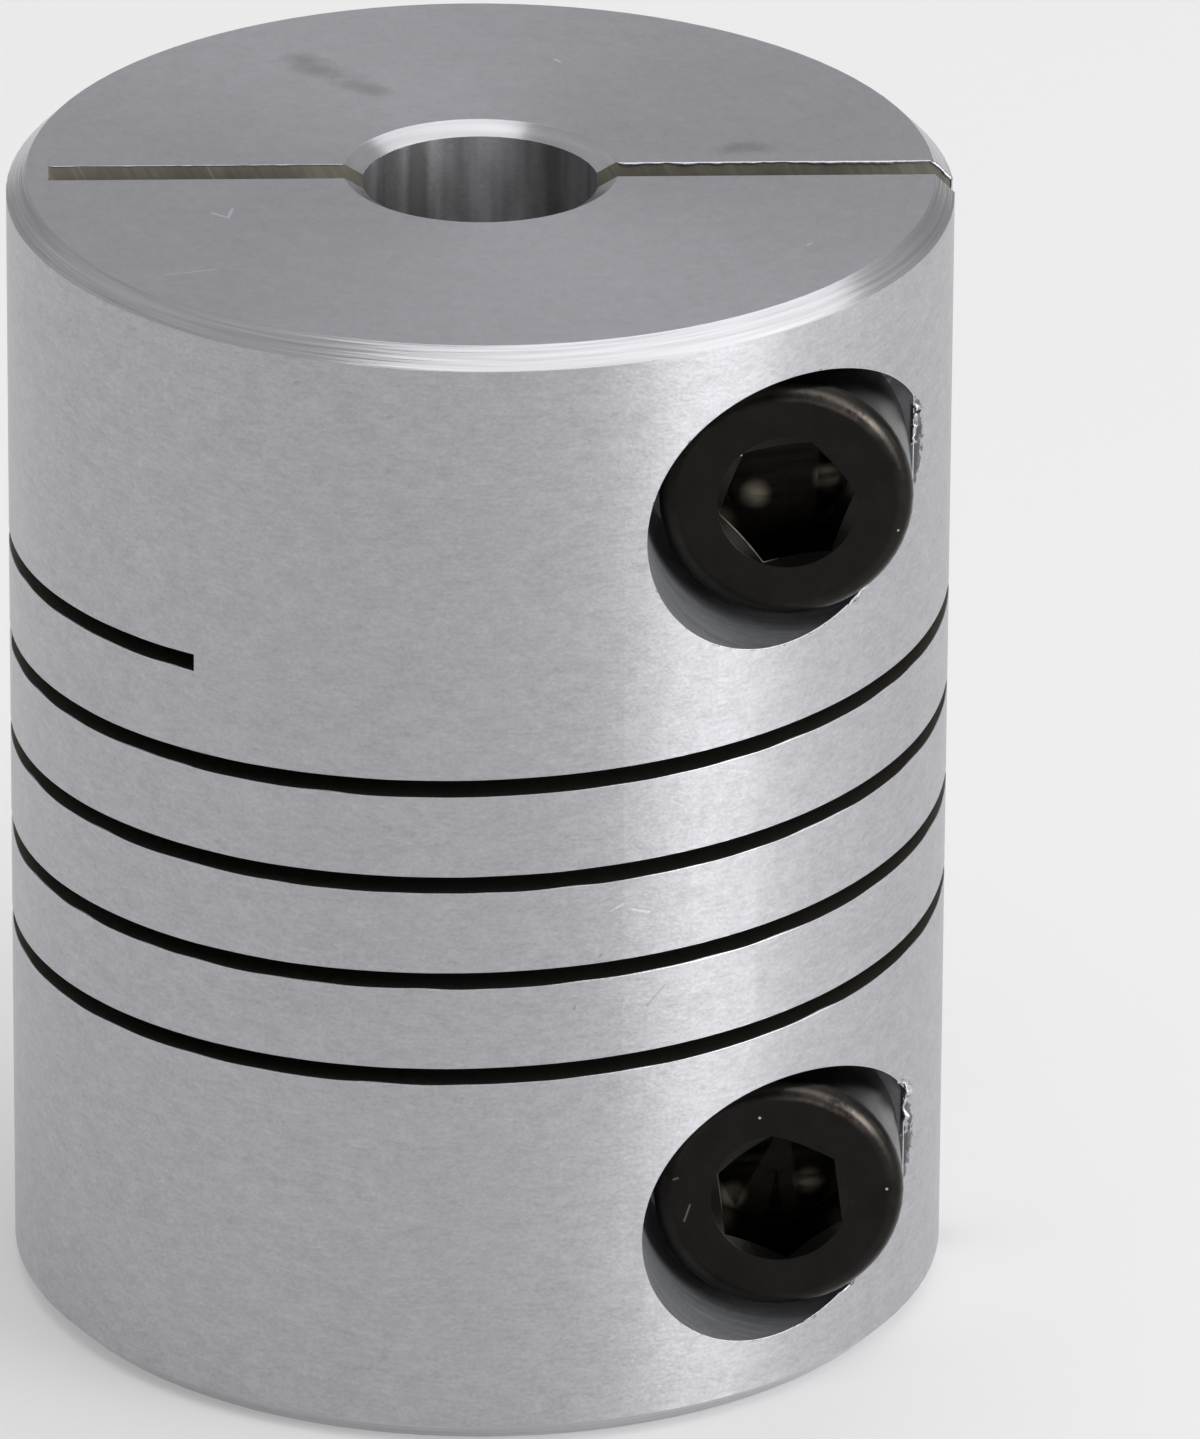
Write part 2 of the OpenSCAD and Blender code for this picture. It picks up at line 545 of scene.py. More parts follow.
class Nodes:
    """A node tree under way, with the one method that adds any node other than a sum."""

    def __init__(self, tree):
        self.tree = tree
        self.tree.nodes.clear()

    def node(self, kind, settings=None, sockets=None, output=0):
        """Adds a node: its settings first, then the values or links of its sockets; gives one output."""
        node = self.tree.nodes.new(kind)
        for name, value in (settings or {}).items():
            setattr(node, name, value)
        for name, value in (sockets or {}).items():
            feed(node.inputs[name], value)
        return Term(node.outputs[output]) if node.outputs else None

    def split(self, vector):
        """The three parts of a vector."""
        return [self.node("ShaderNodeSeparateXYZ", None, {0: vector}, part) for part in "XYZ"]

    def ramp(self, value, low, high):
        """Rises smoothly from 0 at low to 1 at high."""
        return self.node(
            "ShaderNodeMapRange",
            {"interpolation_type": "SMOOTHSTEP"},
            {"Value": value, "From Min": low, "From Max": high},
        )

    def stretched(self, vector, scale):
        """A vector scaled by its own factor along each axis."""
        return self.node("ShaderNodeVectorMath", {"operation": "MULTIPLY"}, {0: vector, 1: scale})

    def join(self, x, y, z):
        """A vector of three values."""
        return self.node("ShaderNodeCombineXYZ", None, {0: x, 1: y, 2: z})

    def noise(self, vector, scale, detail=2.0, roughness=0.5):
        """Soft noise about 0, from -1 to 1."""
        sockets = {"Vector": vector, "Scale": scale, "Detail": detail, "Roughness": roughness}
        return self.node("ShaderNodeTexNoise", None, sockets) * 2 - 1

    def blend(self, factor, first, second):
        """A value that goes from first to second with the factor."""
        return self.node("ShaderNodeMix", {"data_type": "FLOAT"}, {0: factor, 2: first, 3: second})

    def colour(self, factor, first, second):
        """A colour that goes from first to second with the factor."""
        return self.node("ShaderNodeMix", {"data_type": "RGBA"}, {0: factor, 6: first, 7: second}, 2)

    def lit(self, colour, level):
        """A colour times a level."""
        return self.node("ShaderNodeVectorMath", {"operation": "SCALE"}, {0: colour, "Scale": level})

    def sign(self, value):
        """1 where a value is above 0, and -1 elsewhere."""
        return (value > 0) * 2 - 1

    def largest(self, first, *others):
        """The largest of several values."""
        for other in others:
            first = first.math("MAXIMUM", first, other)
        return first


class Finish(Nodes):
    """A material under way."""

    def __init__(self, name):
        self.material = bpy.data.materials.new(name)
        self.material.use_nodes = True
        super().__init__(self.material.node_tree)

    def place(self):
        """The object's own coordinates in millimetres: the vector and its three parts."""
        metres = self.node("ShaderNodeTexCoord", output="Object")
        vector = self.node("ShaderNodeVectorMath", {"operation": "SCALE"}, {0: metres, "Scale": 1 / MM})
        return vector, self.split(vector)

    def metal(self, colour, roughness, rise, brushing=0.0, metallic=1.0):
        """A metal whose surface rises by so many millimetres. Brushing draws its highlights out along the
        axis on a wall, and along the radius on a face."""
        bump = self.node("ShaderNodeBump", None, {"Strength": 1.0, "Distance": MM, "Height": rise})
        return self.node(
            "ShaderNodeBsdfPrincipled",
            None,
            {
                "Base Color": colour,
                "Metallic": metallic,
                "Roughness": roughness,
                "Anisotropic": brushing,
                "Anisotropic Rotation": 0.25,
                "Normal": bump,
            },
        )

    def away(self, vector, place):
        """Distance from a place."""
        return self.node("ShaderNodeVectorMath", {"operation": "DISTANCE"}, {0: vector, 1: place}, "Value")

    def stroke(self, x, y, start, end, width):
        """1 within half a width of the straight line between two points of a plane, and 0 elsewhere."""
        start, end = np.array(start), np.array(end)
        middle_x, middle_y = ((start + end) / 2).tolist()
        reach = float(np.linalg.norm(end - start)) / 2
        right, up = ((end - start) / (2 * reach)).tolist()
        x, y = x - middle_x, y - middle_y
        along = x * right + y * up
        aside = y * right - x * up
        past = self.largest(abs(along) - reach, 0.0)
        return past * past + aside * aside < (width / 2) ** 2

    def smudge(self, vector, place, turn, size):
        """An oval cloud with an uneven edge: 1 at its middle and 0 outside it."""
        oval = self.node(
            "ShaderNodeMapping",
            {"vector_type": "TEXTURE"},
            {
                "Vector": vector,
                "Location": (*place, BODY_LEN),
                "Rotation": (0, 0, np.radians(turn)),
                "Scale": (*size, 1),
            },
        )
        level = self.node("ShaderNodeTexGradient", {"gradient_type": "SPHERICAL"}, {"Vector": oval}, "Fac")
        return self.ramp(level + self.noise(vector, 1.6, 3.0) * 0.5, 0.05, 0.9)

    def mix(self, factor, first, second):
        """A shader that goes from first to second with the factor."""
        return self.node("ShaderNodeMixShader", None, {0: factor, 1: first, 2: second})

    def close(self, shader):
        """Ends the tree with a shader."""
        self.node("ShaderNodeOutputMaterial", None, {"Surface": shader})
        return self.material


def turned_aluminium(finish):
    """Turned aluminium, with each surface of the body told apart by where it is: the wall with its chamfers,
    the end faces, and all that is cut into them."""
    made = Finish("turned_aluminium")
    vector, (x, y, z) = made.place()
    radius = (x * x + y * y) ** 0.5
    height = abs(z - MID_Z)
    from_screw = ((x - SCREW_X) ** 2 + (height - SCREW_RISE) ** 2) ** 0.5

    wall = radius > BODY_R - ON_WALL
    face = height > MID_Z - ON_FACE
    from_rim = (BODY_R - radius) + (MID_Z - height)
    chamfer = (abs(from_rim - EDGE_CHAMFER) < ON_WALL) * (radius < BODY_R - ON_FACE) * (1 - face)
    # A hub starts halfway between the helical slot's end and the slit's floor.
    hub = height > (SLOT_REACH + MID_Z - SLIT_DEPTH) / 2
    slit_wall = hub * (abs(abs(y) - SLIT_W / 2) < ON_FACE)
    mouth = (height > MID_Z - MOUTH_DEPTH - ON_FACE) * (radius < BORE_R + MOUTH_W + ON_WALL) * (1 - slit_wall)
    cone = made.largest(chamfer, mouth * (1 - face))
    outside = made.largest(wall, face, cone)

    # Short streaks round the wall, a finer pebble between them, and softer dark dashes and blotches.
    streaks = made.noise(made.stretched(vector, (1.0, 1.0, 3.0)), 3.4, 3.0, 0.6)
    pebble = made.noise(made.stretched(vector, (1.0, 1.0, 1.5)), 11.0, 1.0)
    cloud = made.noise(vector, 0.5, 2.0)
    dashes = made.ramp(made.noise(made.stretched(vector, (1.0, 1.0, 2.6)), 2.6, 2.0), 0.3, 0.6)
    blotches = made.noise(made.stretched(vector, (1.0, 1.0, 2.0)), 1.5, 2.0)
    grain = streaks * 0.55 + pebble * 0.45
    wall_tone = 1.0 + grain * finish.grain_contrast - dashes * 0.1 + blotches * 0.11 + cloud * 0.03

    # A few handling scratches and dark marks on the front of the wall.
    nicks = made.largest(*(made.stroke(x, z, *scratch) for scratch in WALL_SCRATCHES))
    stains = made.largest(*(made.stroke(x, z, *mark) for mark in WALL_MARKS))
    wall_tone = wall_tone + (nicks * 0.28 - stains * 0.2) * (y < 0)

    # Painted shade with a torn, ragged edge darkens the wall where a counterbore runs out of it, and a ragged
    # dark line round the front of each rim is partly torn metal and partly painted shadow of the burrs.
    torn = made.noise(vector, 6.0, 3.0, 0.6)
    runout_shade = (from_screw < COUNTERBORE_R - 0.1 + torn * 0.2) * (y > -SEAT_DEPTH - 0.1) * (y < 0)
    torn_rim_and_shadow = (from_screw < COUNTERBORE_R - 0.03 + torn * 0.14) * (y < 0)
    wall_tone = wall_tone * (1 - made.largest(runout_shade * 0.9, torn_rim_and_shadow * 0.7))

    # Turning lines on the chamfers and in the bore's mouth.
    across = radius - height
    bands = made.noise(made.join(across, x * 0.03, y * 0.03), 7.0, 2.0, 0.6)
    cone_tone = 1.04 + bands * 0.42
    wall_shader = made.metal(
        made.lit(finish.aluminium, made.blend(cone, wall_tone, cone_tone)),
        made.blend(cone, finish.wall_roughness + grain * 0.05, 0.25),
        made.blend(cone, grain * (finish.grain_depth / MM), bands * 0.006),
        finish.brushing,
    )

    # Fine rings, smudges and a few scratches on the end faces.
    rings = made.noise(made.join(radius, 0.0, height), 9.0, 4.0, 0.7)
    top = z > MID_Z
    smudges = made.largest(*(made.smudge(vector, *place) for place in FACE_SMUDGES)) * top
    scratches = made.largest(*(made.stroke(x, y, *scratch) for scratch in FACE_SCRATCHES)) * top
    face_tone = 1.0 + rings * 0.06 + cloud * 0.04 + blotches * 0.06 + grain * 0.16
    face_tone = face_tone - smudges * 0.25 + scratches * 0.35
    face_shader = made.metal(
        made.lit(finish.face, face_tone),
        finish.face_roughness + rings * 0.02,
        rings * 0.0012 + grain * 0.0005,
        finish.facing,
    )

    # Saw lines lie aslant in the slits, reamer marks run down the bore, and rings go round the counterbores.
    bore = (radius < RELIEF_R + 0.05) * (1 - slit_wall)
    pocket = (from_screw < COUNTERBORE_R + ON_WALL) * (y < -SLIT_W)
    saw = made.noise(made.join(x + z * 0.55, y * 0.2, 0.0), 7.0, 3.0, 0.7)
    marks = made.noise(made.join(x, y, z * 0.04), 1.7, 2.0)
    blots = made.noise(made.join(x, y, z * 0.4), 1.3, 3.0)
    # A painted reflection: a lighter band down the middle of the bore.
    bright = made.ramp(x, -1.9, -1.2) * (1 - made.ramp(x, 0.9, 1.6))
    bore_tone = made.largest(1.0 + marks * 1.1 + blots * 0.5 + grain * 0.25, 0.5) * (1.0 + bright * 1.2)
    slit_tone = (1.0 + saw * 0.4 + made.ramp(saw, 0.25, 0.5) * 0.9) * (1.0 + blots * 0.4)
    slit_tone = slit_tone * made.blend(x > 0, 1.1, 0.95)
    turned = made.noise(made.join(y * 3.0, x * 0.3, height * 0.3), 2.0, 3.0, 0.6)
    # Painted shade darkens the counterbore walls towards their right ends, where they run out of the wall.
    pocket_tone = (1.0 + turned * 0.5 + grain * 0.3) * (1 - 0.65 * made.ramp(x + torn * 0.5, 8.1, 8.5))
    # The slot walls take their darkened colour, as painted shade.
    inner = made.colour(hub, finish.slot_painted_shade, made.lit(finish.slit_metal, slit_tone))
    inner = made.colour(pocket, inner, made.lit(finish.pocket_metal, pocket_tone))
    inner = made.colour(bore, inner, made.lit(finish.bore_metal, bore_tone))
    metallic = made.blend(bore, made.blend(pocket, made.blend(hub, 1.0, 0.3), 0.7), 0.6)
    inner_shader = made.metal(inner, made.blend(bore, 0.45, 0.3), saw * 0.004, metallic=metallic)

    shader = made.mix(face, wall_shader, face_shader)
    return made.close(made.mix(outside, inner_shader, shader))


def bright_aluminium(finish):
    """Freshly cut and torn aluminium of the lips and burrs."""
    made = Finish("bright_aluminium")
    vector, _ = made.place()
    glint = made.noise(vector, 14.0, 2.0)
    colour = made.lit(finish.aluminium, 1.25 + glint * 0.4)
    return made.close(made.metal(colour, 0.34 + glint * 0.08, glint * 0.003))


def black_oxide(finish):
    """Blackened and lightly oiled screw steel, with browner metal at the bottom of the socket, and painted
    glints, highlights and shade.
    """
    made = Finish("black_oxide")
    vector, (x, y, z) = made.place()
    from_screw = ((x - SCREW_X) ** 2 + (abs(z - MID_Z) - SCREW_RISE) ** 2) ** 0.5
    below_head = y - HEAD_TOP
    in_socket = (from_screw < SOCKET_R) * (below_head > SOCKET_DEPTH - ON_WALL)
    in_socket = in_socket * (below_head < SOCKET_BOTTOM + ON_WALL)
    disc = in_socket * (below_head > SOCKET_BOTTOM - ON_FACE)
    patches = made.noise(vector, 1.4, 3.0, 0.6)
    fine = made.noise(vector, 9.0, 2.0)

    # The rounded rim of the head is worn a little all round, and a painted highlight lies on it, most of all
    # at its upper right.
    aside = x - SCREW_X
    above = (abs(z - MID_Z) - SCREW_RISE) * made.sign(z - MID_Z)
    rounded = made.ramp(from_screw, HEAD_R - 0.42, HEAD_R - 0.27) * (below_head < HEAD_ROUND)
    rim_highlight = (1 - made.ramp(from_screw, HEAD_R - 0.22, HEAD_R - 0.06)) * made.ramp(above, 1.2, 2.1)
    rim_highlight = rim_highlight * made.ramp(aside, -0.6, 0.8)
    worn = rounded * made.largest(rim_highlight, 0.06)

    # Painted shade darkens the upper part of the socket at its lower left, and painted light lightens it
    # elsewhere.
    upper = (from_screw < SOCKET_R + ON_FACE) * (below_head > ON_FACE) * (below_head < SOCKET_UPPER)
    painted_socket_shading = made.blend(upper, 1.0, made.blend(made.ramp(aside + above, -0.4, -1.5), 1.3, 0.5))
    colour = made.lit(finish.black_oxide, (1.0 + patches * 0.35) * painted_socket_shading)
    colour = made.colour(worn * made.ramp(patches + fine * 0.3, -0.6, 0.1), colour, finish.worn_and_highlight)

    # The drilled cone at the bottom of the socket has painted glints on it, and the disc in it is bare.
    painted_glints = made.largest(*(1 - made.ramp(made.away(vector, place), 0.0, 0.45) for place in SOCKET_PAINTED_GLINTS))
    cone_tone = 1.0 + patches * 0.4 + painted_glints * 28
    colour = made.colour(in_socket, colour, made.lit(finish.socket_cone, cone_tone))
    colour = made.colour(disc, colour, finish.socket_disc)

    # Specks and scratches bare the steel.
    specks = made.largest(*(made.away(vector, place) < SPECK_R for place in SCREW_SPECKS))
    scratches = made.largest(*(made.stroke(x, z, *scratch) for scratch in HEAD_SCRATCHES))
    scratches = scratches * (below_head < ON_FACE)
    colour = made.colour(made.largest(specks, scratches * 0.2), colour, BARE_STEEL)
    roughness = made.blend(in_socket, 0.3 + patches * 0.06, 0.55)
    return made.close(made.metal(colour, roughness, fine * 0.002))


def worn_oxide(finish):
    """Screw steel whose oxide is worn thin along an edge, and whose lighter colour there is partly a painted
    highlight.
    """
    made = Finish("worn_oxide")
    vector, _ = made.place()
    patches = made.noise(vector, 5.0, 2.0)
    return made.close(made.metal(made.lit(finish.worn_and_highlight, 0.6 + patches * 0.4), 0.35, patches * 0.002))


# Operators


class COUPLING_OT_body(bpy.types.Operator):
    """Give the machined body its turned aluminium"""

    bl_idname = "coupling.body"
    bl_label = "Finish the body"

    def execute(self, context):
        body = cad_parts["body"]
        body.data.materials[0] = turned_aluminium(context.scene.coupling_finish)
        return {"FINISHED"}


class COUPLING_OT_screws(bpy.types.Operator):
    """Give the clamp screws their black oxide"""

    bl_idname = "coupling.screws"
    bl_label = "Finish the screws"

    def execute(self, context):
        material = black_oxide(context.scene.coupling_finish)
        for name in ("upper_clamp_screw", "lower_clamp_screw"):
            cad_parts[name].data.materials[0] = material
        return {"FINISHED"}


def socket_edge(rise, turn, start, end):
    """Path and outward normals of part of the edge of a screw's socket, between two angles: a hexagon
    round the screw axis, whose depth is that of the countersink's cone at the same radius."""
    angle = np.linspace(start, end, SOCKET_STEPS)
    radius = SOCKET_AF / 2 / np.cos((angle - turn) % (np.pi / 3) - np.pi / 6)
    depth = (SOCKET_R - radius) / np.tan(COUNTERSINK_ANGLE / 2)
    path = [SCREW_X + radius * np.cos(angle), HEAD_TOP + depth, MID_Z + rise + radius * np.sin(angle)]
    return np.stack(path, -1), np.tile((0.0, -1.0, 0.0), (len(angle), 1))


class COUPLING_OT_socket_edges(bpy.types.Operator):
    """Wear the edges of the screws' sockets, partly as a painted highlight"""

    bl_idname = "coupling.socket_edges"
    bl_label = "Socket edges"

    def execute(self, context):
        lip = context.scene.coupling_edges.edge_break / MM
        material = worn_oxide(context.scene.coupling_finish)
        for name, rise, turn, start, end, share in SOCKET_WEAR_AND_HIGHLIGHTS:
            path, out = socket_edge(rise, turn, np.radians(start), np.radians(end))
            size = lip * share * (0.1 + 0.9 * np.sin(np.linspace(0, np.pi, len(path))))
            surface = carry(path, out, size[:, None, None] * circle(LIP_SIDES))
            add_piece(name, *surface, material, "black_oxide_steel")
        return {"FINISHED"}


def slot_edge(side, lip, seed):
    """One edge of the helical slot, as a lip of uneven radius: its path is a helix on the wall, half a slot
    above or below the slot's middle line, moved in by the lip's radius."""
    steps = int(SLOT_TURNS * SLOT_STEPS)
    down = np.linspace(0, SLOT_TURNS, steps + 1)
    angle = SLOT_END_ANGLE - 2 * np.pi * down
    out = np.stack([np.cos(angle), np.sin(angle), np.zeros_like(angle)], -1)
    size = lip * (0.15 + ragged(len(down), seed, 2) ** 2)
    path = out * (BODY_R - size[:, None])
    path[:, 2] = SLOT_TOP_Z - SLOT_PITCH * down + side * SLOT_W / 2
    return carry(path, out, size[:, None, None] * circle(LIP_SIDES))


class COUPLING_OT_slot_edges(bpy.types.Operator):
    """Break the edges of the helical slot"""

    bl_idname = "coupling.slot_edges"
    bl_label = "Slot edges"

    def execute(self, context):
        lip = context.scene.coupling_edges.edge_break / MM
        material = bright_aluminium(context.scene.coupling_finish)
        for name, side, share, seed in SLOT_LIPS:
            add_piece(name, *slot_edge(side, lip * share, seed), material, "turned_aluminium")
        return {"FINISHED"}


def rim(rise, start, end, steps):
    """Points and outward normals of a counterbore rim from one angle to another: a circle round the screw
    axis, carried along the screw onto the wall, and held at the line where the seat runs out of the wall."""
    angle = np.linspace(start, end, steps)
    x = SCREW_X + COUNTERBORE_R * np.cos(angle)
    z = MID_Z + rise + COUNTERBORE_R * np.sin(angle)
    x = np.minimum(x, np.sqrt(BODY_R**2 - SEAT_DEPTH**2))
    path = np.stack([x, -np.sqrt(BODY_R**2 - x * x), z], -1)
    return path, path * (1, 1, 0) / BODY_R


class COUPLING_OT_rims(bpy.types.Operator):
    """Break the rims of the counterbores"""

    bl_idname = "coupling.rims"
    bl_label = "Counterbore rims"

    def execute(self, context):
        lip = context.scene.coupling_edges.edge_break / MM
        material = bright_aluminium(context.scene.coupling_finish)
        for name, rise in (("upper_rim_edge", SCREW_RISE), ("lower_rim_edge", -SCREW_RISE)):
            path, out = rim(rise, 0, 2 * np.pi, RIM_STEPS + 1)
            surface = carry(path[:-1] - lip * out[:-1], out[:-1], lip * circle(LIP_SIDES), True)
            add_piece(name, *surface, material, "turned_aluminium")
        return {"FINISHED"}


def burr(rise, start, end, height, seed):
    """A torn burr on a counterbore rim between two angles in degrees: a wedge along the rim that leans
    unevenly, mostly away from the hole, and whose height is uneven and falls to nothing at both ends."""
    steps = 3 + int(abs(end - start) * 0.7)
    path, out = rim(rise, np.radians(start), np.radians(end), steps)
    swell = np.sin(np.linspace(0, np.pi, steps)) ** 0.5
    tall = height * swell * (0.15 + 0.85 * ragged(steps, seed, 1))
    lean = height * (ragged(steps, seed + 1, 1) - 0.3)
    foot = 0.25 * height
    profile = np.zeros((steps, 3, 2))
    profile[:, 0] = (-foot, foot)
    profile[:, 1] = (-foot, -foot)
    profile[:, 2, 0] = tall - 0.2 * foot
    profile[:, 2, 1] = lean
    return carry(path, out, profile)


class COUPLING_OT_burrs(bpy.types.Operator):
    """Tear burrs where the counterbores run out of the wall"""

    bl_idname = "coupling.burrs"
    bl_label = "Torn burrs"

    def execute(self, context):
        height = context.scene.coupling_edges.burr_height / MM
        material = bright_aluminium(context.scene.coupling_finish)
        for name, rise, places in (
            ("upper_rim_burrs", SCREW_RISE, UPPER_BURRS),
            ("lower_rim_burrs", -SCREW_RISE, LOWER_BURRS),
        ):
            surfaces = [burr(rise, start, end, share * height, seed) for start, end, share, seed in places]
            add_piece(name, *together(surfaces), material, "turned_aluminium")
        return {"FINISHED"}


def slit_edge(end, jaw, side, lip, seed):
    """One edge of a slit, as a lip of uneven radius along the jaw's corner. It starts at the bore's mouth.
    On the closed side it ends at the hinge. On the open side it goes on over the chamfer and along the wall
    to the slit's floor."""
    near = np.sqrt((BORE_R + MOUTH_W) ** 2 - (SLIT_W / 2) ** 2)
    wall = np.sqrt(BODY_R**2 - (SLIT_W / 2) ** 2)
    corners = [(side * near, 0.0), (SLIT_END, 0.0)]
    outward = [(0.0, 1.0)]
    if side > 0:
        corners[1:] = [(wall - EDGE_CHAMFER, 0.0), (wall, EDGE_CHAMFER), (wall, SLIT_DEPTH)]
        outward += [(0.7, 0.7), (1.0, 0.0)]
    path, out = [], []
    for (x, down), (next_x, next_down), (right, up) in zip(corners, corners[1:], outward):
        count = 2 + int(np.hypot(next_x - x, next_down - down) / SLIT_STEP)
        share = np.linspace(0, 1, count)[:, None]
        ends = np.array([[x, jaw * SLIT_W / 2, -down], [next_x, jaw * SLIT_W / 2, -next_down]])
        path.append(ends[0] + share * (ends[1] - ends[0]))
        out.append(np.tile(unit(np.array([right, 0.0, up])), (count, 1)))
    path, out = np.concatenate(path), np.concatenate(out)
    size = lip * (0.3 + 0.7 * ragged(len(path), seed, 2))
    size[[0, -1]] *= 0.1
    path = (path - size[:, None] * out) * (1, 1, end) + (0, 0, MID_Z + end * MID_Z)
    return carry(path, out * (1, 1, end), size[:, None, None] * circle(LIP_SIDES))


class COUPLING_OT_slit_edges(bpy.types.Operator):
    """Break the edges of the clamp slits"""

    bl_idname = "coupling.slit_edges"
    bl_label = "Slit edges"

    def execute(self, context):
        lip = context.scene.coupling_edges.edge_break / MM
        material = bright_aluminium(context.scene.coupling_finish)
        corners = [(jaw, side) for jaw in (1, -1) for side in (1, -1)]
        for name, end in (("upper_slit_edges", 1), ("lower_slit_edges", -1)):
            surfaces = []
            for seed, (jaw, side) in enumerate(corners):
                share = TORN_LIP_SHARE if jaw == side == end else 1.0
                surfaces.append(slit_edge(end, jaw, side, lip * share, seed))
            add_piece(name, *together(surfaces), material, "turned_aluminium")
        return {"FINISHED"}


def screw_thread(rise, pitch):
    """The ridge of a screw's thread: a trapezoid carried along a right-hand helix round the screw. Its crest
    rises from nothing under the head, and comes down with the chamfer of the point."""
    start, end = -SEAT_DEPTH + THREAD_START, SCREW_TIP - THREAD_END
    turns = (end - start) / pitch
    turn = np.linspace(0, 2 * np.pi * turns, int(turns * THREAD_STEPS))
    out = np.stack([np.sin(turn), np.zeros_like(turn), np.cos(turn)], -1)
    y = start + pitch * turn / (2 * np.pi)
    path = out * SHANK_R + np.stack([np.full_like(y, SCREW_X), y, np.full_like(y, MID_Z + rise)], -1)
    crest = np.minimum(THREAD_R - CREST_GAP - SHANK_R, SCREW_TIP - POINT_CHAMFER + CREST_PAST - y)
    crest = np.minimum(crest, (y - start) * CREST_RISE)
    profile = np.zeros((len(turn), 4, 2))
    profile[:, 0] = (-RIDGE_FOOT, RIDGE_ROOT)
    profile[:, 1] = (-RIDGE_FOOT, -RIDGE_ROOT)
    profile[:, 2:, 0] = np.maximum(crest, -CREST_SUNK)[:, None]
    profile[:, 2, 1] = -RIDGE_CREST
    profile[:, 3, 1] = RIDGE_CREST
    taper = np.minimum(0, SCREW_TIP - POINT_CHAMFER - y)
    profile[..., 0] += taper[:, None]
    return carry(path, out, profile[:, ::-1])


class COUPLING_OT_screw_threads(bpy.types.Operator):
    """Cut the threads of the clamp screws"""

    bl_idname = "coupling.screw_threads"
    bl_label = "Screw threads"

    def execute(self, context):
        pitch = context.scene.coupling_threads.pitch / MM
        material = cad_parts["upper_clamp_screw"].data.materials[0]
        for name, rise in (("upper_screw_thread", SCREW_RISE), ("lower_screw_thread", -SCREW_RISE)):
            add_piece(name, *screw_thread(rise, pitch), material, "black_oxide_steel")
        return {"FINISHED"}


def tapped_thread(rise, pitch):
    """The thread of a tapped hole, as a thin lining from the screw's point to the wall: its radius is the
    hole's, less a trapezoid of the height along the hole and the angle round it. Its end follows the wall."""
    columns, rows = 72, 90
    angle = np.linspace(0, 2 * np.pi, columns, endpoint=False)[None, :]
    share = np.linspace(0, 1, rows)[:, None]
    wall = np.sqrt(BODY_R**2 - (SCREW_X + TAPPED_R * np.sin(angle)) ** 2)
    start = SCREW_TIP - LINING_OVERLAP
    y = start + share * (wall - LINING_BACK - start)
    phase = (y + SEAT_DEPTH - THREAD_START) / pitch - angle / (2 * np.pi)
    from_ridge = abs((phase % 1) - 0.5) * pitch
    ridge = np.clip((LINING_FOOT * pitch - from_ridge) / (LINING_FLANK * pitch), 0, 1)
    inner = TAPPED_R + LINING_GROOVE - LINING_RIDGE * ridge
    y = np.concatenate([y, y[::-1][[0, -1]]])
    radius = np.concatenate([inner, np.full((2, columns), TAPPED_R + LINING_BACK)])
    points = np.stack([SCREW_X + radius * np.sin(angle), y, MID_Z + rise + radius * np.cos(angle)], -1)
    return points.reshape(-1, 3), ring_faces(rows + 2, columns, True)


class COUPLING_OT_tapped_threads(bpy.types.Operator):
    """Cut the threads where the tapped holes leave the rear wall"""

    bl_idname = "coupling.tapped_threads"
    bl_label = "Tapped holes"

    def execute(self, context):
        pitch = context.scene.coupling_threads.pitch / MM
        material = bright_aluminium(context.scene.coupling_finish)
        for name, rise in (("upper_tapped_thread", SCREW_RISE), ("lower_tapped_thread", -SCREW_RISE)):
            add_piece(name, *tapped_thread(rise, pitch), material, "turned_aluminium")
        return {"FINISHED"}


def add_lamp(name, azimuth, elevation, shape, size, power):
    """A square or round softbox at angles from the camera's side and from the floor, both in degrees. It
    faces the coupling, and the camera doesn't see it."""
    lamp = bpy.data.lights.new(name, "AREA")
    lamp.shape = shape
    lamp.size = size * MM
    lamp.energy = power
    holder = bpy.data.objects.new(name, lamp)
    azimuth, elevation = np.radians(azimuth), np.radians(elevation)
    level = np.cos(elevation)
    away = Vector((level * np.sin(azimuth), -level * np.cos(azimuth), np.sin(elevation)))
    place = (Vector((0, 0, MID_Z)) + away * LAMP_DISTANCE) * MM
    holder.matrix_world = Matrix.Translation(place) @ away.to_track_quat("Z", "Y").to_matrix().to_4x4()
    holder.visible_camera = False
    bpy.context.scene.collection.objects.link(holder)


def room_light(studio):
    """The light of a plain room, by its direction. It is pale overhead and on the walls above the bench,
    dim low down and behind the camera, and fairly pale at any height on the far side."""
    world = bpy.data.worlds.new("room")
    world.use_nodes = True
    made = Nodes(world.node_tree)
    _, y, z = made.split(made.node("ShaderNodeTexCoord", output="Generated"))
    pale = made.ramp(z, 0.15, 0.4) * made.largest(made.ramp(y, -0.75, -0.35), made.ramp(z, 0.62, 0.78))
    pale = made.largest(pale, made.ramp(y, 0.2, 0.7) * 0.6)
    light = made.lit(studio.room, 0.2 + pale * 0.8)
    shader = made.node("ShaderNodeBackground", None, {"Color": light, "Strength": 1.0})
    made.node("ShaderNodeOutputWorld", None, {"Surface": shader})
    return world


